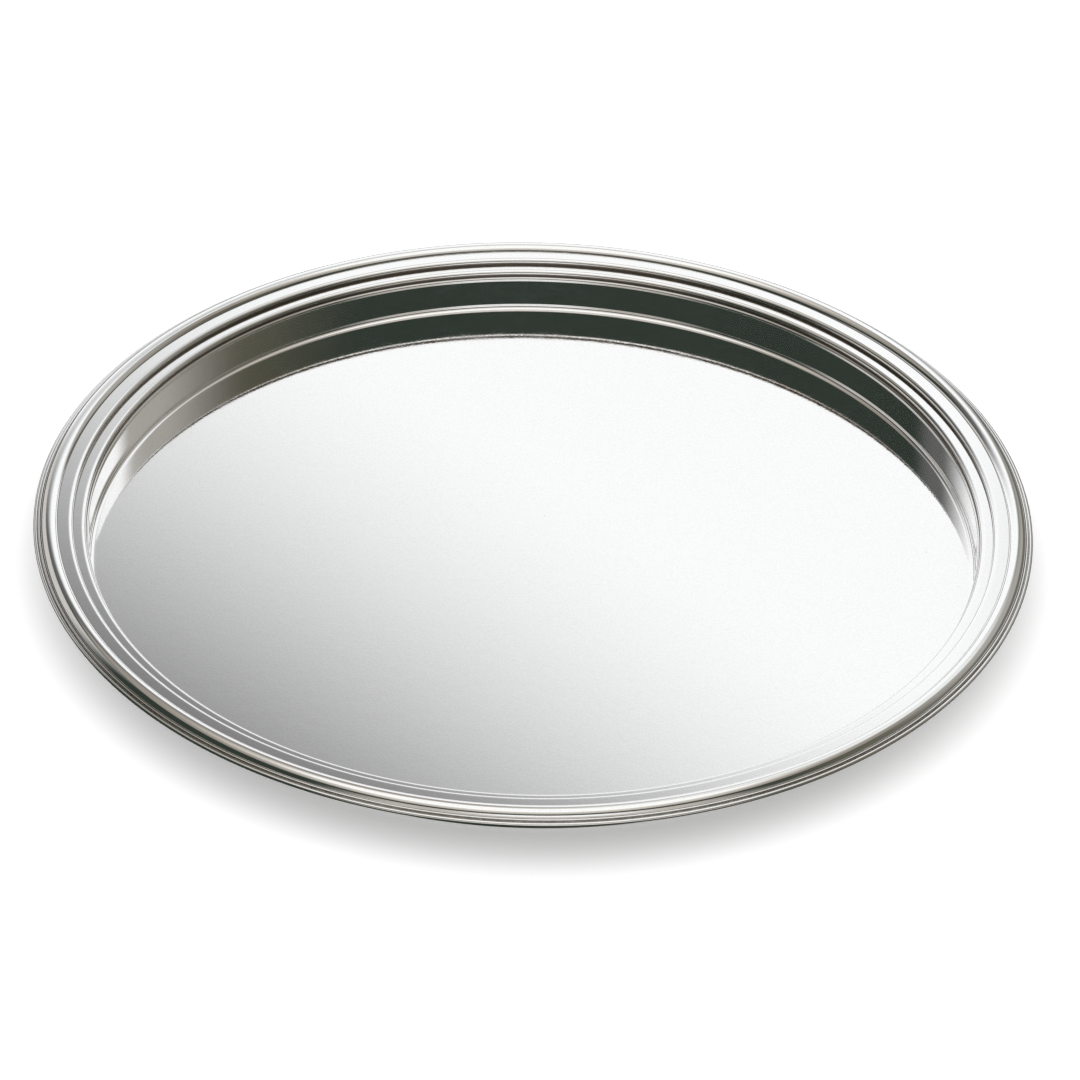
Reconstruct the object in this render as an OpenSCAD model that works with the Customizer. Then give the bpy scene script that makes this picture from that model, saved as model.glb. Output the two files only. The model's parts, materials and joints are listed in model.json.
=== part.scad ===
// Round silver salver: a spun dish with a stepped border of soldered round-nosed reeds,
// a hollow half-round rim moulding and a thin beaded lip.
// The salver stands on the underside of its floor, at z = 0, centred on the Z axis.

/* [Salver] */
// Overall diameter, over the lip's bead
salver_d = 356; // [240:1:460]
// Depth of the well, from the floor up to the outside of the wall's turn
well_depth = 13.4; // [9:0.1:30]
// Thickness of the spun sheet
sheet_t = 1; // [0.6:0.1:1.6]

/* [Bends] */
// Inside radius of the corner between floor and wall
corner_r = 1.8; // [1:0.1:5]
// Inside radius of the turn from the wall to the flange
turn_r = 0.5; // [0.3:0.1:1.5]
// Slope of the flange, rising outward, in degrees
flange_slope = 21; // [12:1:28]
// Length of flange lapped inside the rim moulding
flange_lap = 1.6; // [1:0.1:2.2]

/* [Reeds] */
// Width of the inner reed, along the flange
inner_reed_w = 4.9; // [3:0.1:8]
// Width of the middle reed, along the flange
middle_reed_w = 6; // [3:0.1:9]
// Thickness of a reed at its outer edge, where its level top ends
reed_side = 0.6; // [0.4:0.1:0.8]
// Radius of a reed's rounded inner edge
nose_r = 1.7; // [1:0.1:2]

/* [Rim] */
// Radius of the half-round rim moulding
moulding_r = 3.2; // [2.9:0.1:4.5]
// Wall thickness of the hollow rim moulding
moulding_t = 0.65; // [0.5:0.05:0.9]
// How far the moulding hangs below the middle reed's level top
moulding_drop = 1.4; // [1.2:0.1:1.8]

/* [Lip] */
// How far the lip stands out beyond the rim moulding
lip_w = 2.4; // [2:0.1:4]
// Thickness of the flat edge ring
ring_t = 1; // [0.8:0.1:1.4]
// Diameter of the bead along the edge ring
bead_d = 1.5; // [1.4:0.1:2]
// Diameter of the fine wire laid between the moulding and the bead
thread_d = 0.9; // [0.5:0.1:1]

/* [Hidden] */
$fn = 240;

silver = "#e4e4e2";
bright_silver = "#f1f1ef";
solder = "#8f9196";

// Unit vectors along the flange's slope and square to it, as [radius, height]
along = [cos(flange_slope), sin(flange_slope)];
upward = [-sin(flange_slope), cos(flange_slope)];

salver_r = salver_d / 2;
turn_outer_r = turn_r + sheet_t;
reeds_w = inner_reed_w + middle_reed_w;
hollow_r = moulding_r - moulding_t;

// The rim moulding's centre line, set in from the bead by the lip's width
moulding_centre_r = salver_r - lip_w - moulding_r;
// Where the moulding stands against the middle reed's edge
moulding_side_r = moulding_centre_r - sqrt(moulding_r * moulding_r - moulding_drop * moulding_drop);

// Centre of the wall's turn. The flange starts square above it, and carries both reeds
turn_centre = [
    moulding_side_r - reeds_w * along[0] - turn_outer_r * upward[0],
    sheet_t + well_depth - turn_outer_r
];
flange_start = turn_centre + turn_outer_r * upward;
well_r = turn_centre[0] - turn_outer_r;

// Centre of the moulding's round, level with the edge ring's top
reeds_end = flange_start + reeds_w * along;
base_z = reeds_end[1] + reed_side - moulding_drop;
moulding_centre = [moulding_centre_r, base_z];

// Where the flange's underside comes down to the edge ring's top
flange_run = (base_z - turn_centre[1] - turn_r * upward[1]) / along[1];
ring_inner_r = turn_centre[0] + turn_r * upward[0] + flange_run * along[0];

// Draws its children with X along the flange from the wall's turn, and Y square to it from the turn's centre
module on_flange() {
    translate(turn_centre)
        rotate(flange_slope)
            children();
}

// Sheet bent round the point it stands on, before it is cut to the bend's angle
module bend(inner_r) {
    difference() {
        circle(inner_r + sheet_t);
        circle(inner_r);
    }
}

// All that lies below a point, as far as the given reach
module below(reach) {
    translate([-reach, -2 * reach])
        square(2 * reach);
}

module plate_profile() {
    corner_z = sheet_t + corner_r;
    // Floor
    square([well_r - corner_r, sheet_t]);
    // Corner between floor and wall
    translate([well_r - corner_r, corner_z])
        intersection() {
            bend(corner_r);
            translate([0, -2 * corner_z])
                square(2 * corner_z);
        }
    // Wall
    translate([well_r, corner_z])
        square([sheet_t, turn_centre[1] - corner_z]);
    // Turn from the wall to the flange
    translate(turn_centre)
        difference() {
            bend(turn_r);
            below(2 * turn_outer_r);
            rotate(flange_slope - 90)
                mirror([0, 1])
                    below(2 * turn_outer_r);
        }
    // Flange under the reeds and into the rim moulding
    on_flange()
        translate([0, turn_r])
            square([reeds_w + flange_lap, sheet_t]);
}

// Cross-section of a reed lying on the flange, from one distance along it to another:
// upright sides, a level top and a rounded inner edge
module reed_profile(from, width) {
    run = width * along[0];
    rise = width * along[1] + reed_side;
    edge_r = min(nose_r, rise - reed_side / 2);
    difference() {
        translate(flange_start + from * along) {
            square([run, rise - edge_r]);
            translate([edge_r, 0])
                square([run - edge_r, rise]);
            translate([edge_r, rise - edge_r])
                intersection() {
                    circle(edge_r);
                    translate([-edge_r, 0])
                        square(edge_r);
                }
        }
        on_flange()
            translate([-turn_outer_r, -turn_outer_r])
                square([reeds_w + 2 * turn_outer_r, 2 * turn_outer_r]);
    }
}

// Upper half of a round section, standing on the moulding's centre
module half_round(r) {
    translate(moulding_centre)
        difference() {
            circle(r);
            below(2 * r);
        }
}

module moulding_profile() {
    difference() {
        half_round(moulding_r);
        half_round(hollow_r);
        // Foot on the flange, against the middle reed's side
        on_flange()
            translate([0, -moulding_r])
                square([reeds_w + flange_lap, moulding_r + turn_outer_r]);
        translate([reeds_end[0] - moulding_r, base_z])
            square(moulding_r);
    }
}

module filling_profile() {
    difference() {
        union() {
            half_round(hollow_r);
            // Wedge of solder under the flange
            translate([ring_inner_r, base_z])
                square([moulding_centre_r - ring_inner_r, turn_outer_r]);
        }
        on_flange()
            translate([0, turn_r])
                square([reeds_w + flange_lap, sheet_t]);
        // Above the flange the solder stays inside the moulding
        difference() {
            on_flange()
                translate([0, turn_outer_r])
                    square([reeds_w + flange_lap, moulding_r]);
            translate(moulding_centre)
                circle(hollow_r);
        }
    }
}

module ring_profile() {
    bead_r = bead_d / 2;
    translate([ring_inner_r, base_z - ring_t])
        square([salver_r - bead_r - ring_inner_r, ring_t]);
    translate([salver_r - bead_r, base_z - ring_t / 2])
        circle(bead_r);
}

// Round wire lying in the corner between the moulding and the edge ring, touching both
module thread_profile() {
    thread_r = thread_d / 2;
    span = moulding_r + thread_r;
    translate(moulding_centre + [sqrt(span * span - thread_r * thread_r), thread_r])
        circle(thread_r);
}

module well_plate() {
    color(silver) rotate_extrude() plate_profile();
}

module inner_reed() {
    color(bright_silver) rotate_extrude() reed_profile(0, inner_reed_w);
}

module middle_reed() {
    color(bright_silver) rotate_extrude() reed_profile(inner_reed_w, middle_reed_w);
}

module rim_moulding() {
    color(bright_silver) rotate_extrude() moulding_profile();
}

module rim_filling() {
    color(solder) rotate_extrude() filling_profile();
}

module edge_ring() {
    color(silver) rotate_extrude() ring_profile();
}

module edge_thread() {
    color(bright_silver) rotate_extrude() thread_profile();
}

well_plate();
inner_reed();
middle_reed();
rim_moulding();
rim_filling();
edge_ring();
edge_thread();
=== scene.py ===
"""Round silver salver: a spun dish with a stepped border of soldered reeds, a half-round rim and a beaded lip."""
import json
import math

import bmesh
import bpy
from bpy.props import FloatProperty, FloatVectorProperty, PointerProperty
from bpy.types import Operator, Panel, PropertyGroup
from mathutils import Matrix, Vector


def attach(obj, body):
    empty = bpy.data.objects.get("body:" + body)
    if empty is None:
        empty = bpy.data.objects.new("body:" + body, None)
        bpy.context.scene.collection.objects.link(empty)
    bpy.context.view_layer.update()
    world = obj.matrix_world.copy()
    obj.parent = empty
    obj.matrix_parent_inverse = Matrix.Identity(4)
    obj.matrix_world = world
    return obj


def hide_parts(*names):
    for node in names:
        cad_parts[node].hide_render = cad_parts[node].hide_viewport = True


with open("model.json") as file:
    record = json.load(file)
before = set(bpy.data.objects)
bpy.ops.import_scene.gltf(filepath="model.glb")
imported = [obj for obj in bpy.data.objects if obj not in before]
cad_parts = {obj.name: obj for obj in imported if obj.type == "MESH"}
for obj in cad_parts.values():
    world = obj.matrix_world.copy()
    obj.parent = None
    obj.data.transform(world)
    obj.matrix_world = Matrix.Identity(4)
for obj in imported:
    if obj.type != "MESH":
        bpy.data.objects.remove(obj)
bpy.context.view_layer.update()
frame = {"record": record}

bl_info = {
    "name": "Round Silver Salver",
    "version": (1, 0, 0),
    "blender": (4, 5, 0),
    "location": "View3D > Sidebar > Salver",
    "description": "Builds a round silver salver piece by piece, with its studio",
    "category": "Add Mesh",
}

SALVER_RADIUS = frame["record"]["size"]["bbox_m"][0] / 2
AROUND = 240                    # steps of a full spin
ARC_STEP = math.radians(4.0)    # longest step of an arc in a cross-section
SHARP = math.radians(32.0)      # an edge turned more than this is shaded as a crease
FLOOR_LOOP = 0.001              # extra ring of edges this far inside the floor's corner, for even shading
TREAD_LOOP = 0.0004             # the same beside the rounded edge of a reed


# Sizes and colours -------------------------------------------------------------------------------

def size_property(name, metres, description):
    return FloatProperty(name=name, description=description, default=metres, min=0.0001, unit="LENGTH", precision=4)


def angle_property(name, degrees, description):
    return FloatProperty(name=name, description=description, default=math.radians(degrees), subtype="ANGLE")


def colour_property(name, colour, description):
    return FloatVectorProperty(
        name=name, description=description, default=colour, size=3, subtype="COLOR", min=0.0, max=1.0)


class SalverSizes(PropertyGroup):
    """Sizes of the salver's cross-section."""
    sheet: size_property("Sheet", 0.001, "Thickness of the spun sheet")
    depth: size_property("Well depth", 0.0134, "From the floor up to the outside of the wall's turn")
    corner: size_property("Corner radius", 0.0018, "Inside radius between floor and wall")
    turn: size_property("Turn radius", 0.0005, "Inside radius of the turn from the wall to the flange")
    slope: angle_property("Flange slope", 21, "How steeply the flange rises outward")
    lap: size_property("Flange lap", 0.0016, "Length of flange inside the rim moulding")
    inner_reed: size_property("Inner reed", 0.0049, "Width of the inner reed")
    middle_reed: size_property("Middle reed", 0.006, "Width of the middle reed")
    reed_side: size_property("Reed side", 0.0006, "Thickness of a reed at its outer edge")
    nose: size_property("Nose radius", 0.0017, "Radius of a reed's rounded inner edge")
    moulding: size_property("Moulding radius", 0.0032, "Radius of the half-round rim moulding")
    moulding_wall: size_property("Moulding wall", 0.00065, "Wall thickness of the hollow moulding")
    moulding_drop: size_property(
        "Moulding drop", 0.0014, "How far the moulding hangs below the middle reed's level top")
    lip: size_property("Lip width", 0.0024, "How far the lip stands out beyond the moulding")
    ring: size_property("Ring thickness", 0.001, "Thickness of the flat edge ring")
    bead: size_property("Bead", 0.0015, "Diameter of the bead along the lip")
    thread: size_property("Thread", 0.0009, "Diameter of the fine wire beside the moulding")


class SilverFinish(PropertyGroup):
    """Colours and gloss of the metal."""
    silver: colour_property("Silver", (0.965, 0.962, 0.955), "Colour of polished silver plate")
    tarnish: colour_property("Tarnish", (0.125, 0.095, 0.07), "Brown left in the grooves, where a cloth doesn't reach")
    solder: colour_property("Solder", (0.42, 0.425, 0.44), "Dull grey of the solder load")
    gloss: FloatProperty(
        name="Roughness", description="Roughness of freshly wiped plate", default=0.03, min=0.0, max=1.0)
    haze: FloatProperty(
        name="Haze", description="Roughness that old wiping marks add", default=0.035, min=0.0, max=1.0)
    ripple: FloatProperty(
        name="Ripple", description="Height of the fine ripple that polishing leaves", default=0.0000045, precision=8,
        unit="LENGTH")
    grain: FloatProperty(
        name="Grain", description="How much the finest wiping marks dim the silver", default=0.06, min=0.0, max=1.0)
    groove_reach: size_property("Groove reach", 0.00016, "How far tarnish spreads out of a groove of the border")
    turn_reach: size_property("Turn reach", 0.00045, "How far tarnish spreads down the wall's turn")
    tarnish_amount: FloatProperty(
        name="Tarnish amount", description="Strength of the tarnish in the grooves", default=0.9,
        min=0.0, max=1.0, subtype="FACTOR")


class StudioSetup(PropertyGroup):
    """Camera, floor and light around the salver."""
    elevation: angle_property("Elevation", 35.73, "Camera's height above the horizon")
    roll: angle_property("Roll", 1.52, "Camera's turn about its own axis")
    distance: size_property("Distance", 2.51, "From the camera to the point it looks at")
    lens: FloatProperty(
        name="Lens", description="Focal length in millimetres", default=233.1, subtype="DISTANCE_CAMERA")
    aim: FloatVectorProperty(
        name="Aim", description="Point the camera looks at", default=(0.0025, 0.0083, 0.0014), size=3,
        subtype="TRANSLATION")
    floor: colour_property("Floor", (0.86, 0.86, 0.86), "Colour of the pale floor")
    floor_light: FloatProperty(
        name="Floor light", description="Strength of the even light that falls on the floor", default=1.15, min=0.0)
    floor_glow: FloatProperty(
        name="Floor glow", description="Strength of the light that comes up through the floor", default=0.35, min=0.0)
    room: colour_property("Room", (0.0319, 0.0423, 0.0343), "Dark green of the unlit room")
    screen_distance: size_property("Screen distance", 0.5, "From the salver's middle to the screen behind it")
    screen: colour_property("Screen", (0.98, 0.988, 1.0), "Bright part of the screen behind the salver")
    screen_shade: colour_property("Screen shade", (0.12, 0.122, 0.12), "Shaded upper left of that screen")
    shade_slant: angle_property("Shade slant", 52, "Slant of the shade's edge on the screen")
    shade_start: FloatProperty(
        name="Shade start", description="Where the shade is full, measured across its slant", default=-0.55,
        subtype="DISTANCE")
    shade_end: FloatProperty(
        name="Shade end", description="Where the shade is gone, measured across its slant", default=-0.24,
        subtype="DISTANCE")
    screen_glow: FloatProperty(name="Screen glow", description="Brightness of the screen", default=1.03, min=0.0)
    side_card_distance: size_property(
        "Side card distance", 0.35, "From the salver's middle to the card on its left")
    side_card_along: size_property("Side card place", 0.2, "How far that card's middle is behind the salver's")
    side_card: colour_property("Side card", (1.0, 0.97, 0.93), "Warm white of the card on the left")
    side_card_glow: FloatProperty(
        name="Side card glow", description="Brightness of the card on the left", default=0.6, min=0.0)


def object_from(mesh, name):
    """Turns a bmesh into an object of the scene and frees it."""
    data = bpy.data.meshes.new(name)
    mesh.to_mesh(data)
    mesh.free()
    made = bpy.data.objects.new(name, data)
    bpy.context.collection.objects.link(made)
    return made


# Cross-sections ----------------------------------------------------------------------------------

class Section:
    """A cross-section drawn point by point in the plane of X and Z, and then spun about Z."""

    def __init__(self, radius, height):
        self.mesh = bmesh.new()
        self.start = bmesh.ops.create_vert(self.mesh, co=(radius, 0, height))["vert"][0]
        self.end = self.start

    def line(self, radius, height):
        self.end = bmesh.ops.extrude_vert_indiv(self.mesh, verts=[self.end])["verts"][0]
        self.end.co = (radius, 0, height)

    def arc(self, centre, angle):
        """Carries the outline round a centre; a positive angle is anticlockwise with +X to the right."""
        steps = max(2, math.ceil(abs(angle) / ARC_STEP))
        turned = bmesh.ops.spin(
            self.mesh, geom=[self.end], cent=(centre[0], 0, centre[1]), axis=(0, -1, 0), angle=angle, steps=steps)
        self.end = [part for part in turned["geom_last"] if isinstance(part, bmesh.types.BMVert)][0]

    def close(self):
        bmesh.ops.contextual_create(self.mesh, geom=[self.end, self.start])

    def spun(self, name):
        """Spins the outline into a closed ring and returns it as an object."""
        mesh = self.mesh
        bmesh.ops.spin(
            mesh, geom=mesh.verts[:] + mesh.edges[:], cent=(0, 0, 0), axis=(0, 0, 1),
            angle=2 * math.pi, steps=AROUND, use_merge=True)
        bmesh.ops.remove_doubles(mesh, verts=mesh.verts[:], dist=1e-7)
        bmesh.ops.recalc_face_normals(mesh, faces=mesh.faces[:])
        for face in mesh.faces:
            face.smooth = True
        for edge in mesh.edges:
            edge.smooth = edge.calc_face_angle(0) <= SHARP
        return object_from(mesh, name)


class Layout:
    """Places in the cross-section that more than one piece meets, as (radius, height)."""

    def __init__(self, sizes):
        self.along = Vector((math.cos(sizes.slope), math.sin(sizes.slope)))
        self.upward = Vector((-math.sin(sizes.slope), math.cos(sizes.slope)))
        reeds = sizes.inner_reed + sizes.middle_reed
        rim_radius = SALVER_RADIUS - sizes.lip - sizes.moulding
        side_radius = rim_radius - math.sqrt(sizes.moulding ** 2 - sizes.moulding_drop ** 2)
        turn_outer = sizes.turn + sizes.sheet
        turn_radius = side_radius - reeds * self.along.x - turn_outer * self.upward.x
        self.turn = Vector((turn_radius, sizes.sheet + sizes.depth - turn_outer))
        self.flange = self.turn + turn_outer * self.upward
        self.foot = self.flange + reeds * self.along
        self.side = Vector((0, sizes.reed_side))
        self.rim = Vector((rim_radius, (self.foot + self.side).y - sizes.moulding_drop))
        self.wall_radius = self.turn.x - turn_outer
        under = self.turn + sizes.turn * self.upward
        self.ring_inner = under.x + (self.rim.y - under.y) / math.tan(sizes.slope)


# Nodes -------------------------------------------------------------------------------------------

class NodeKit:
    """Adds nodes to one node tree and joins them up as it goes."""

    def __init__(self, tree):
        self.tree = tree

    def add(self, kind, inputs=(), **settings):
        """A node with its settings, and its input sockets set or linked by name or number."""
        node = self.tree.nodes.new(kind)
        for name, value in settings.items():
            setattr(node, name, value)
        for key, value in dict(inputs).items():
            self.join(node.inputs[key], value)
        return node

    def join(self, socket, value):
        if isinstance(value, bpy.types.NodeSocket):
            self.tree.links.new(value, socket)
        else:
            socket.default_value = value

    def maths(self, operation, *values):
        return self.add("ShaderNodeMath", enumerate(values), operation=operation).outputs[0]

    def soft_step(self, value, low, high, start=0.0, end=1.0):
        """Eases from start to end while the value goes from low to high."""
        inputs = {"Value": value, "From Min": low, "From Max": high, "To Min": start, "To Max": end}
        return self.add("ShaderNodeMapRange", inputs, interpolation_type="SMOOTHSTEP").outputs["Result"]

    def blend(self, mask, below, above):
        """Mixes two colours: the first where the mask is 0, the second where it is 1."""
        node = self.add("ShaderNodeMix", data_type="RGBA", clamp_factor=True)
        sockets = {socket.identifier: socket for socket in node.inputs}
        for name, value in (("Factor_Float", mask), ("A_Color", below), ("B_Color", above)):
            self.join(sockets[name], value)
        return next(socket for socket in node.outputs if socket.identifier == "Result_Color")

    def noise(self, vector, scale, detail=2.0, roughness=0.5):
        inputs = {"Vector": vector, "Scale": scale, "Detail": detail, "Roughness": roughness}
        return self.add("ShaderNodeTexNoise", inputs).outputs["Fac"]

    def stretched(self, vector, turn, scale):
        """The vector turned about Z and then stretched, for marks that run one way."""
        turned = self.add("ShaderNodeMapping", {"Vector": vector, "Rotation": (0, 0, turn)}).outputs["Vector"]
        return self.add("ShaderNodeMapping", {"Vector": turned, "Scale": scale}).outputs["Vector"]


def rgb(colour):
    return (*colour, 1)


def new_group(name, inputs, outputs):
    """An empty shader node group with float or vector sockets, ready to be filled."""
    tree = bpy.data.node_groups.new(name, "ShaderNodeTree")
    for label, kind in inputs:
        tree.interface.new_socket(name=label, in_out="INPUT", socket_type=kind)
    for label, kind in outputs:
        tree.interface.new_socket(name=label, in_out="OUTPUT", socket_type=kind)
    kit = NodeKit(tree)
    return kit, kit.add("NodeGroupInput").outputs, kit.add("NodeGroupOutput").inputs


FLOAT, VECTOR = "NodeSocketFloat", "NodeSocketVector"


def hand_polish_group():
    """Cloth haze, hairlines that cross each other, the fine ripple and grain of a polish, and dust."""
    name = "hand polish"
    if name in bpy.data.node_groups:
        return bpy.data.node_groups[name]
    kit, given, result = new_group(
        name, [("Vector", VECTOR)],
        [("Haze", FLOAT), ("Hairlines", FLOAT), ("Ripple", FLOAT), ("Grain", FLOAT), ("Dust", FLOAT)])
    place = given["Vector"]
    broad = kit.noise(place, 14.0, 3.0, 0.55)
    streaks = kit.noise(kit.stretched(place, 0.5, (16.0, 75.0, 40.0)), 1.0, 3.0, 0.6)
    wiped = kit.maths("MULTIPLY_ADD", streaks, 0.55, kit.maths("MULTIPLY", broad, 0.6))
    kit.join(result["Haze"], kit.soft_step(wiped, 0.42, 0.78))
    lines = None
    strokes = ((0.35, 55.0, 2600.0), (1.25, 70.0, 3100.0), (2.2, 45.0, 2200.0), (2.85, 60.0, 2800.0))
    for turn, along, across in strokes:
        mark = kit.noise(kit.stretched(place, turn, (along, across, across)), 1.0, 1.0, 0.5)
        scratch = kit.soft_step(mark, 0.66, 0.74)
        lines = scratch if lines is None else kit.maths("MAXIMUM", lines, scratch)
    kit.join(result["Hairlines"], lines)
    fine = kit.noise(place, 1300.0, 1.0, 0.5)
    slow = kit.noise(place, 160.0, 2.0, 0.5)
    kit.join(result["Ripple"], kit.maths("MULTIPLY_ADD", slow, 1.6, fine))
    kit.join(result["Grain"], kit.soft_step(kit.noise(place, 1700.0, 1.0, 0.7), 0.38, 0.68))
    cells = kit.add("ShaderNodeTexVoronoi", {"Vector": place, "Scale": 95.0, "Randomness": 1.0})
    chosen = kit.soft_step(kit.noise(place, 60.0, 0.0), 0.60, 0.64)
    kit.join(result["Dust"], kit.maths("MULTIPLY", kit.soft_step(cells.outputs["Distance"], 0.035, 0.02), chosen))
    return kit.tree


def groove_group():
    """Tarnish beside two round grooves, from how far a place is from the Z axis; each fades in patches."""
    name = "groove tarnish"
    if name in bpy.data.node_groups:
        return bpy.data.node_groups[name]
    kit, given, result = new_group(
        name, [("Vector", VECTOR), ("Inner Radius", FLOAT), ("Outer Radius", FLOAT), ("Reach", FLOAT)],
        [("Mask", FLOAT)])
    flat = kit.add("ShaderNodeVectorMath", {0: given["Vector"], 1: (1, 1, 0)}, operation="MULTIPLY").outputs["Vector"]
    radius = kit.add("ShaderNodeVectorMath", {0: flat}, operation="LENGTH").outputs["Value"]
    patches = kit.noise(given["Vector"], 45.0, 3.0, 0.6)
    reach = kit.maths("MULTIPLY", given["Reach"], kit.maths("MULTIPLY_ADD", patches, 0.9, 0.55))
    masks = []
    for edge in ("Inner Radius", "Outer Radius"):
        away = kit.maths("ABSOLUTE", kit.maths("SUBTRACT", radius, given[edge]))
        masks.append(kit.soft_step(kit.maths("DIVIDE", away, reach), 1.0, 0.15))
    kit.join(result["Mask"], kit.maths("MAXIMUM", *masks))
    return kit.tree


# Materials ---------------------------------------------------------------------------------------

def new_material(name):
    material = bpy.data.materials.new(name)
    material.use_nodes = True
    return material, NodeKit(material.node_tree), material.node_tree.nodes["Principled BSDF"].inputs


def silver_material(name, finish, grooves, reach):
    """Hand-polished silver plate with tarnish beside the two grooves at the given radii."""
    material, kit, shader = new_material(name)
    place = kit.add("ShaderNodeTexCoord").outputs["Object"]
    polish = kit.add("ShaderNodeGroup", node_tree=hand_polish_group())
    kit.join(polish.inputs["Vector"], place)
    groove = kit.add("ShaderNodeGroup", node_tree=groove_group())
    for key, value in (("Vector", place), ("Inner Radius", grooves[0]), ("Outer Radius", grooves[1]),
                       ("Reach", reach)):
        kit.join(groove.inputs[key], value)
    tarnish = kit.maths("MULTIPLY", groove.outputs["Mask"], finish.tarnish_amount)
    grain = kit.maths("MULTIPLY", polish.outputs["Grain"], finish.grain)
    dull = kit.maths("MAXIMUM", tarnish, kit.maths("MULTIPLY_ADD", polish.outputs["Dust"], 0.5, grain))
    kit.join(shader["Base Color"], kit.blend(dull, rgb(finish.silver), rgb(finish.tarnish)))
    worn = kit.maths("MULTIPLY_ADD", polish.outputs["Hairlines"], 0.05, finish.gloss)
    hazed = kit.maths("MULTIPLY_ADD", polish.outputs["Haze"], finish.haze, worn)
    kit.join(shader["Roughness"], kit.maths("MULTIPLY_ADD", dull, 0.3, hazed))
    shader["Metallic"].default_value = 1
    bump = kit.add("ShaderNodeBump", {"Strength": 1.0, "Distance": finish.ripple})
    kit.join(bump.inputs["Height"], polish.outputs["Ripple"])
    kit.join(shader["Normal"], bump.outputs["Normal"])
    return material


def solder_material(name, finish):
    """Cast-looking soft solder, wiped smooth while hot."""
    material, kit, shader = new_material(name)
    place = kit.add("ShaderNodeTexCoord").outputs["Object"]
    flow = kit.noise(place, 260.0, 4.0, 0.6)
    frost = kit.noise(place, 2400.0, 2.0, 0.5)
    darker = tuple(0.6 * part for part in finish.solder)
    kit.join(shader["Base Color"], kit.blend(kit.soft_step(flow, 0.35, 0.7), rgb(finish.solder), rgb(darker)))
    kit.join(shader["Roughness"], kit.maths("MULTIPLY_ADD", frost, 0.3, 0.3))
    shader["Metallic"].default_value = 1
    bump = kit.add("ShaderNodeBump", {"Strength": 1.0, "Distance": 0.00004})
    kit.join(bump.inputs["Height"], kit.maths("MULTIPLY_ADD", frost, 0.2, flow))
    kit.join(shader["Normal"], bump.outputs["Normal"])
    return material


def dress(piece, material, node):
    """Gives a piece its material and body, and hides the imported part that it stands in for."""
    piece.data.materials.append(material)
    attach(piece, "root")
    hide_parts(node)


# Pieces ------------------------------------------------------------------------------------------

def plate_section(sizes):
    """Up the inside of the dish and over the flange, then back along the underside."""
    at = Layout(sizes)
    corner = Vector((at.wall_radius - sizes.corner, sizes.sheet + sizes.corner))
    quarter = math.pi / 2
    turning = quarter - sizes.slope
    edge = at.foot + sizes.lap * at.along
    section = Section(0, sizes.sheet)
    section.line(corner.x * 0.5, sizes.sheet)
    section.line(corner.x - FLOOR_LOOP, sizes.sheet)
    section.line(corner.x, sizes.sheet)
    section.arc(corner, quarter)
    section.line(at.wall_radius, at.turn.y)
    section.arc(at.turn, -turning)
    section.line(*edge)
    section.line(*(edge - sizes.sheet * at.upward))
    section.line(*(at.turn + sizes.turn * at.upward))
    section.arc(at.turn, turning)
    section.line(at.wall_radius + sizes.sheet, corner.y)
    section.arc(corner, -quarter)
    section.line(corner.x - FLOOR_LOOP, 0)
    section.line(corner.x * 0.5, 0)
    section.line(0, 0)
    return section


def reed_section(sizes, start, width):
    """A reed on the flange, from one distance along it: upright sides, a level top and a rounded inner edge."""
    at = Layout(sizes)
    inner = at.flange + start * at.along
    outer = inner + width * at.along
    top = outer + at.side
    centre = Vector((inner.x + sizes.nose, top.y - sizes.nose))
    section = Section(*outer)
    section.line(*top)
    section.line(centre.x + TREAD_LOOP, top.y)
    section.line(centre.x, top.y)
    section.arc(centre, math.pi / 2)
    section.line(*inner)
    section.close()
    return section


def moulding_section(sizes):
    """A hollow half-round, with its inner foot cut to the flange."""
    at = Layout(sizes)
    hollow = sizes.moulding - sizes.moulding_wall
    foot_angle = math.pi - math.asin(sizes.moulding_drop / sizes.moulding)
    inner_angle = flange_angle(at, hollow)
    section = Section(at.rim.x + sizes.moulding, at.rim.y)
    section.arc(at.rim, foot_angle)
    section.line(*at.foot)
    section.line(at.rim.x + hollow * math.cos(inner_angle), at.rim.y + hollow * math.sin(inner_angle))
    section.arc(at.rim, -inner_angle)
    section.close()
    return section


def flange_angle(at, radius):
    """Angle at which the flange's top crosses a circle round the moulding's centre, on its inner side."""
    offset = (at.foot - at.rim).dot(at.upward)
    beside = -math.sqrt(radius ** 2 - offset ** 2)
    crossing = at.upward * offset + at.along * beside
    return math.atan2(crossing.y, crossing.x)


def filling_section(sizes):
    """The solder inside the moulding: round the flange's lap and down to the edge ring."""
    at = Layout(sizes)
    hollow = sizes.moulding - sizes.moulding_wall
    inner_angle = flange_angle(at, hollow)
    edge = at.foot + sizes.lap * at.along
    section = Section(at.rim.x + hollow, at.rim.y)
    section.arc(at.rim, inner_angle)
    section.line(*edge)
    section.line(*(edge - sizes.sheet * at.upward))
    section.line(at.ring_inner, at.rim.y)
    section.close()
    return section


def ring_section(sizes):
    """A flat ring with a round bead along its outer edge."""
    at = Layout(sizes)
    bead = sizes.bead / 2
    centre = Vector((SALVER_RADIUS - bead, at.rim.y - sizes.ring / 2))
    half_angle = math.pi - math.asin(sizes.ring / 2 / bead)
    neck = centre.x - math.sqrt(bead ** 2 - (sizes.ring / 2) ** 2)
    section = Section(at.ring_inner, at.rim.y - sizes.ring)
    section.line(neck, at.rim.y - sizes.ring)
    section.arc(centre, 2 * half_angle)
    section.line(at.ring_inner, at.rim.y)
    section.close()
    return section


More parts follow.
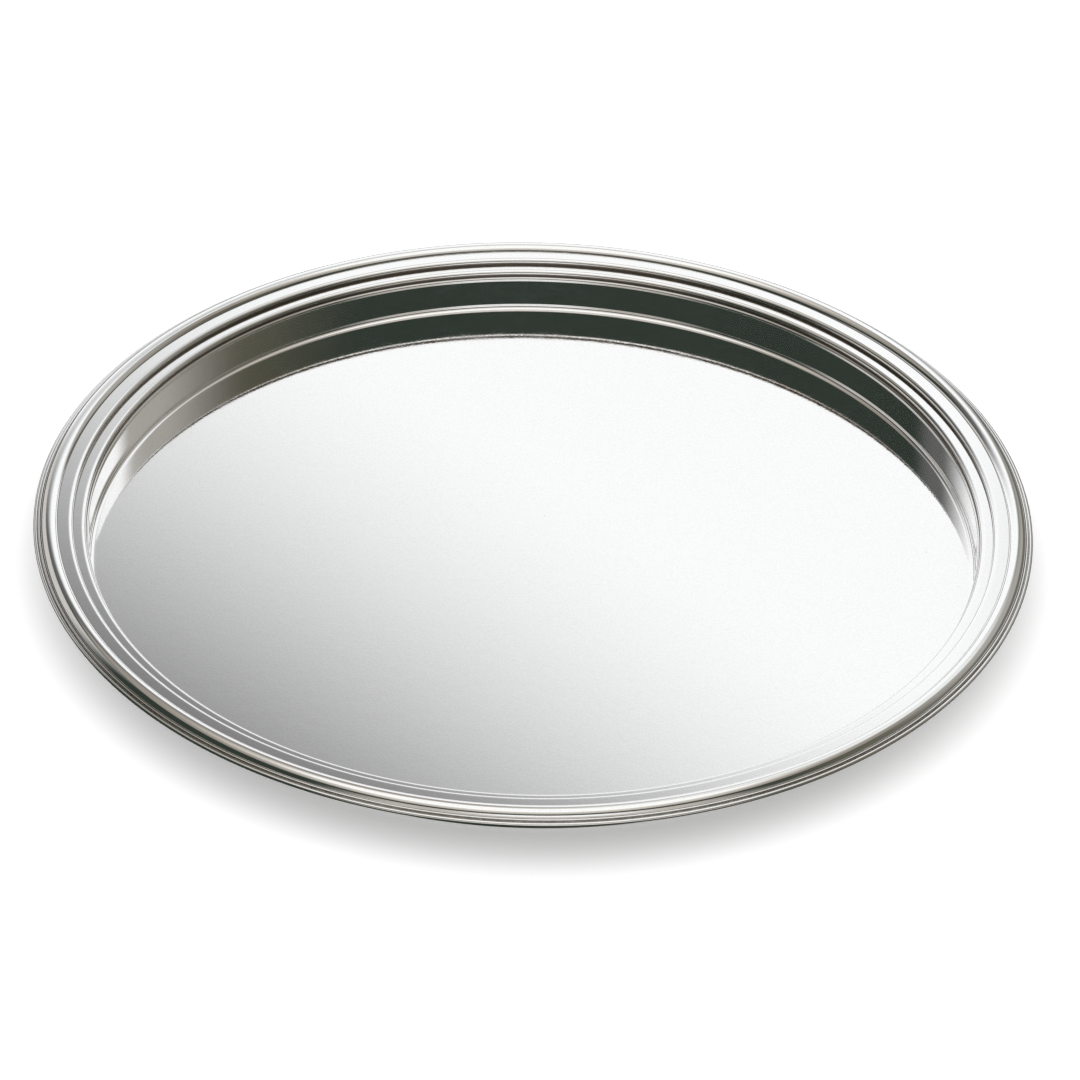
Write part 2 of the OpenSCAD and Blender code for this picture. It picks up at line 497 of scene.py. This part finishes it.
def thread_section(sizes):
    """A round wire that touches both the moulding and the edge ring."""
    at = Layout(sizes)
    radius = sizes.thread / 2
    span = sizes.moulding + radius
    centre = at.rim + Vector((math.sqrt(span ** 2 - radius ** 2), radius))
    section = Section(centre.x + radius, centre.y)
    section.arc(centre, 2 * math.pi - ARC_STEP)
    section.close()
    return section


class SALVER_OT_well_plate(Operator):
    """Spin the dish: floor, corner, wall, turn and flange"""
    bl_idname = "salver.well_plate"
    bl_label = "Well Plate"

    def execute(self, context):
        sizes, finish = context.scene.salver_sizes, context.scene.silver_finish
        piece = plate_section(sizes).spun("well_plate_piece")
        at = Layout(sizes)
        material = silver_material("polished sheet", finish, (at.flange.x, at.foot.x), finish.turn_reach)
        dress(piece, material, "well_plate")
        return {"FINISHED"}


class SALVER_OT_reeds(Operator):
    """Lay the two round-nosed strips on the flange"""
    bl_idname = "salver.reeds"
    bl_label = "Reeds"

    def execute(self, context):
        sizes, finish = context.scene.salver_sizes, context.scene.silver_finish
        at = Layout(sizes)
        between = at.flange + sizes.inner_reed * at.along
        inner = reed_section(sizes, 0, sizes.inner_reed).spun("inner_reed_piece")
        silver = silver_material("inner reed silver", finish, (at.flange.x, between.x), finish.groove_reach)
        dress(inner, silver, "inner_reed")
        middle = reed_section(sizes, sizes.inner_reed, sizes.middle_reed).spun("middle_reed_piece")
        silver = silver_material("middle reed silver", finish, (between.x, at.foot.x), finish.groove_reach)
        dress(middle, silver, "middle_reed")
        return {"FINISHED"}


class SALVER_OT_rim(Operator):
    """Lap the hollow moulding over the flange's edge and fill it with solder"""
    bl_idname = "salver.rim"
    bl_label = "Rim Moulding"

    def execute(self, context):
        sizes, finish = context.scene.salver_sizes, context.scene.silver_finish
        at = Layout(sizes)
        moulding = moulding_section(sizes).spun("rim_moulding_piece")
        grooves = (at.foot.x, at.rim.x + sizes.moulding)
        silver = silver_material("moulding silver", finish, grooves, finish.groove_reach)
        dress(moulding, silver, "rim_moulding")
        filling = filling_section(sizes).spun("rim_filling_piece")
        dress(filling, solder_material("solder", finish), "rim_filling")
        return {"FINISHED"}


class SALVER_OT_lip(Operator):
    """Close the moulding with the edge ring and lay the thread wire"""
    bl_idname = "salver.lip"
    bl_label = "Edge Ring and Thread"

    def execute(self, context):
        sizes, finish = context.scene.salver_sizes, context.scene.silver_finish
        at = Layout(sizes)
        grooves = (at.rim.x + sizes.moulding, SALVER_RADIUS - sizes.bead)
        silver = silver_material("lip silver", finish, grooves, finish.groove_reach)
        dress(ring_section(sizes).spun("edge_ring_piece"), silver, "edge_ring")
        dress(thread_section(sizes).spun("edge_thread_piece"), silver, "edge_thread")
        return {"FINISHED"}


# Studio ------------------------------------------------------------------------------------------

FLOOR_HALF = 6.0                # half the width of the floor
SHEET_HALF = 0.8                # half the width and height of an upright sheet of light

# Where the edges of the two upright sheets fade, from nothing to full light or back
SCREEN_LEFT, SCREEN_RIGHT, SCREEN_TOP = (-0.80, -0.38), (0.18, 0.34), (0.50, 0.66)
CARD_NEAR, CARD_FAR, CARD_TOP = (-0.08, 0.06), (0.36, 0.50), (0.16, 0.23)


def place_camera(studio):
    """Points a long lens at the salver from above its near side."""
    camera = bpy.data.objects.new("camera", bpy.data.cameras.new("camera"))
    bpy.context.collection.objects.link(camera)
    camera.data.lens = studio.lens
    camera.data.clip_end = 20
    tilt = Matrix.Rotation(math.pi / 2 - studio.elevation, 4, "X")
    turned = tilt @ Matrix.Rotation(studio.roll, 4, "Z")
    away = tilt @ Vector((0, 0, studio.distance))
    camera.matrix_world = Matrix.Translation(Vector(studio.aim) + away) @ turned
    bpy.context.scene.camera = camera


def lay_floor(studio):
    """A wide pale sheet, lit a little from below; the silver mirrors the room instead of it."""
    mesh = bmesh.new()
    bmesh.ops.create_grid(mesh, x_segments=1, y_segments=1, size=FLOOR_HALF)
    floor = object_from(mesh, "floor")
    material, kit, shader = new_material("pale floor")
    tooth = kit.noise(kit.add("ShaderNodeTexCoord").outputs["Object"], 700.0, 3.0, 0.6)
    shaded = tuple(0.985 * part for part in studio.floor)
    kit.join(shader["Base Color"], kit.blend(tooth, rgb(studio.floor), rgb(shaded)))
    shader["Roughness"].default_value = 0.95
    shader["Specular IOR Level"].default_value = 0.1
    shader["Emission Color"].default_value = rgb(studio.floor)
    shader["Emission Strength"].default_value = studio.floor_glow
    floor.data.materials.append(material)
    floor.visible_glossy = False


class SoftCard:
    """A soft-edged patch of light round the salver, by compass angle from the far side and height, in degrees."""

    def __init__(self, colour, facing, half_width, side_fade, low, high, low_fade, high_fade, strength=1.0):
        self.colour = colour
        self.facing = facing
        self.half_width = half_width
        self.side_fade = side_fade
        self.low = low
        self.high = high
        self.low_fade = low_fade
        self.high_fade = high_fade
        self.strength = strength

    def over(self, kit, compass, height, below):
        """Lays the card over the light so far."""
        mask = kit.soft_step(height, self.low - self.low_fade, self.low + self.low_fade, 0.0, self.strength)
        if self.half_width < 180:
            turned = kit.maths("WRAP", kit.maths("SUBTRACT", compass, self.facing), 180.0, -180.0)
            start, end = self.half_width - self.side_fade, self.half_width + self.side_fade
            mask = kit.maths("MULTIPLY", mask, kit.soft_step(kit.maths("ABSOLUTE", turned), start, end, 1.0, 0.0))
        if self.high < 90:
            top = kit.soft_step(height, self.high - self.high_fade, self.high + self.high_fade, 1.0, 0.0)
            mask = kit.maths("MULTIPLY", mask, top)
        return kit.blend(mask, below, rgb(self.colour))


SOFT_CARDS = (
    SoftCard((0.107, 0.102, 0.072), 62, 50, 22, -89, 45, 1, 3, 0.75),       # olive side wall
    SoftCard((0.160, 0.155, 0.140), 60, 110, 20, -24, 4, 5, 3),             # table edge, far side and right
    SoftCard((0.090, 0.095, 0.090), -14, 34, 14, -38, 14, 12, 6),           # floor of the room on the far side
    SoftCard((0.314, 0.287, 0.254), 0, 180, 1, 40, 90, 3, 1),               # warm grey upper walls
    SoftCard((0.61, 0.578, 0.527), 180, 60, 20, 47, 90, 5, 1),              # lighter wall head behind the camera
    SoftCard((0.150, 0.145, 0.115), 84, 28, 22, 6, 31, 5, 5, 0.8),          # pale screen to the right
    SoftCard((0.61, 0.578, 0.527), 0, 180, 1, 57, 90, 7, 1),                # lighter wall head
    SoftCard((1.03, 1.03, 1.02), 0, 180, 1, 66, 90, 4, 1),                  # overhead diffuser
    SoftCard((0.40, 0.385, 0.36), 48, 31, 20, 8, 42, 5, 5),                 # grey screen, far right
    SoftCard((0.86, 0.88, 0.87), 26, 22, 9, 38, 64, 6, 6),                  # lit part of it
    SoftCard((0.50, 0.47, 0.43), 176, 40, 12, -14, 26, 8, 4),               # pale wall below the camera
    SoftCard((0.97, 0.97, 0.97), 174, 17, 9, 7, 27, 2, 2),                  # white card below the camera
)


def soft_world(studio):
    """Soft screens for the silver to mirror, and plain even light for the floor and the background."""
    world = bpy.data.worlds.new("studio")
    bpy.context.scene.world = world
    world.use_nodes = True
    world.cycles.sampling_method = "NONE"
    kit = NodeKit(world.node_tree)
    direction = kit.add("ShaderNodeTexCoord").outputs["Generated"]
    parts = kit.add("ShaderNodeSeparateXYZ", {"Vector": direction}).outputs
    height = kit.maths("DEGREES", kit.maths("ARCSINE", parts["Z"]))
    compass = kit.maths("DEGREES", kit.maths("ARCTAN2", parts["X"], parts["Y"]))
    light = rgb(studio.room)
    for card in SOFT_CARDS:
        light = card.over(kit, compass, height, light)
    background = world.node_tree.nodes["Background"]
    path = kit.add("ShaderNodeLightPath").outputs
    plain = kit.maths("MAXIMUM", path["Is Diffuse Ray"], path["Is Camera Ray"])
    even = (studio.floor_light,) * 3
    kit.join(background.inputs["Color"], kit.blend(plain, light, rgb(even)))


def glowing_sheet(name, turn, place):
    """An upright sheet of light that only the silver sees, with its nodes, its shader and the places on it."""
    mesh = bmesh.new()
    bmesh.ops.create_grid(mesh, x_segments=1, y_segments=1, size=SHEET_HALF)
    bmesh.ops.rotate(mesh, verts=mesh.verts[:], cent=(0, 0, 0), matrix=Matrix.Rotation(math.pi / 2, 3, turn))
    bmesh.ops.translate(mesh, verts=mesh.verts[:], vec=(*place, SHEET_HALF))
    sheet = object_from(mesh, name)
    material, kit, shader = new_material(name + " light")
    sheet.data.materials.append(material)
    shader["Base Color"].default_value = (0, 0, 0, 1)
    shader["Specular IOR Level"].default_value = 0
    sheet.visible_camera = False
    sheet.visible_diffuse = False
    sheet.visible_shadow = False
    parts = kit.add("ShaderNodeSeparateXYZ", {"Vector": kit.add("ShaderNodeTexCoord").outputs["Object"]}).outputs
    return kit, shader, parts


def soft_edges(kit, across, up, start, end, top):
    """How solid a sheet is, when its two sides and its top each fade between two distances."""
    sides = kit.maths("MULTIPLY", kit.soft_step(across, *start), kit.soft_step(across, *end, 1.0, 0.0))
    return kit.maths("MULTIPLY", sides, kit.soft_step(up, *top, 1.0, 0.0))


def stand_screen(studio):
    """A soft-edged white screen behind the salver, in shade to its upper left."""
    kit, shader, parts = glowing_sheet("white screen", "X", (0, studio.screen_distance))
    across, up = parts["X"], parts["Z"]
    level = kit.maths("MULTIPLY", across, math.cos(studio.shade_slant))
    slanted = kit.maths("MULTIPLY_ADD", up, -math.sin(studio.shade_slant), level)
    lit = kit.soft_step(slanted, studio.shade_start, studio.shade_end)
    kit.join(shader["Emission Color"], kit.blend(lit, rgb(studio.screen_shade), rgb(studio.screen)))
    shader["Emission Strength"].default_value = studio.screen_glow
    kit.join(shader["Alpha"], soft_edges(kit, across, up, SCREEN_LEFT, SCREEN_RIGHT, SCREEN_TOP))


def stand_side_card(studio):
    """A low pale card to the left, which brightens the reeds' rounded edges across the salver."""
    place = (-studio.side_card_distance, studio.side_card_along)
    kit, shader, parts = glowing_sheet("side card", "Y", place)
    shader["Emission Color"].default_value = rgb(studio.side_card)
    shader["Emission Strength"].default_value = studio.side_card_glow
    kit.join(shader["Alpha"], soft_edges(kit, parts["Y"], parts["Z"], CARD_NEAR, CARD_FAR, CARD_TOP))


class SALVER_OT_studio(Operator):
    """Set up the floor, the lights and the camera"""
    bl_idname = "salver.studio"
    bl_label = "Studio"

    def execute(self, context):
        studio = context.scene.studio_setup
        lay_floor(studio)
        stand_screen(studio)
        stand_side_card(studio)
        soft_world(studio)
        place_camera(studio)
        context.scene.view_settings.view_transform = "Standard"
        return {"FINISHED"}


class SALVER_PT_panel(Panel):
    bl_idname = "SALVER_PT_panel"
    bl_label = "Round Silver Salver"
    bl_space_type = "VIEW_3D"
    bl_region_type = "UI"
    bl_category = "Salver"

    def draw(self, context):
        for name in ("salver_sizes", "silver_finish", "studio_setup"):
            group = getattr(context.scene, name)
            box = self.layout.box()
            for prop in group.bl_rna.properties:
                if prop.identifier not in {"rna_type", "name"}:
                    box.prop(group, prop.identifier)
        for operator in OPERATORS:
            self.layout.operator(operator.bl_idname)


GROUPS = (SalverSizes, SilverFinish, StudioSetup)
OPERATORS = (SALVER_OT_well_plate, SALVER_OT_reeds, SALVER_OT_rim, SALVER_OT_lip, SALVER_OT_studio)
CLASSES = GROUPS + OPERATORS + (SALVER_PT_panel,)


def register():
    for item in CLASSES:
        bpy.utils.register_class(item)
    bpy.types.Scene.salver_sizes = PointerProperty(type=SalverSizes)
    bpy.types.Scene.silver_finish = PointerProperty(type=SilverFinish)
    bpy.types.Scene.studio_setup = PointerProperty(type=StudioSetup)


def unregister():
    del bpy.types.Scene.studio_setup
    del bpy.types.Scene.silver_finish
    del bpy.types.Scene.salver_sizes
    for item in reversed(CLASSES):
        bpy.utils.unregister_class(item)


def main():
    register()
    bpy.ops.salver.well_plate()
    bpy.ops.salver.reeds()
    bpy.ops.salver.rim()
    bpy.ops.salver.lip()
    bpy.ops.salver.studio()


if __name__ == "__main__":
    main()
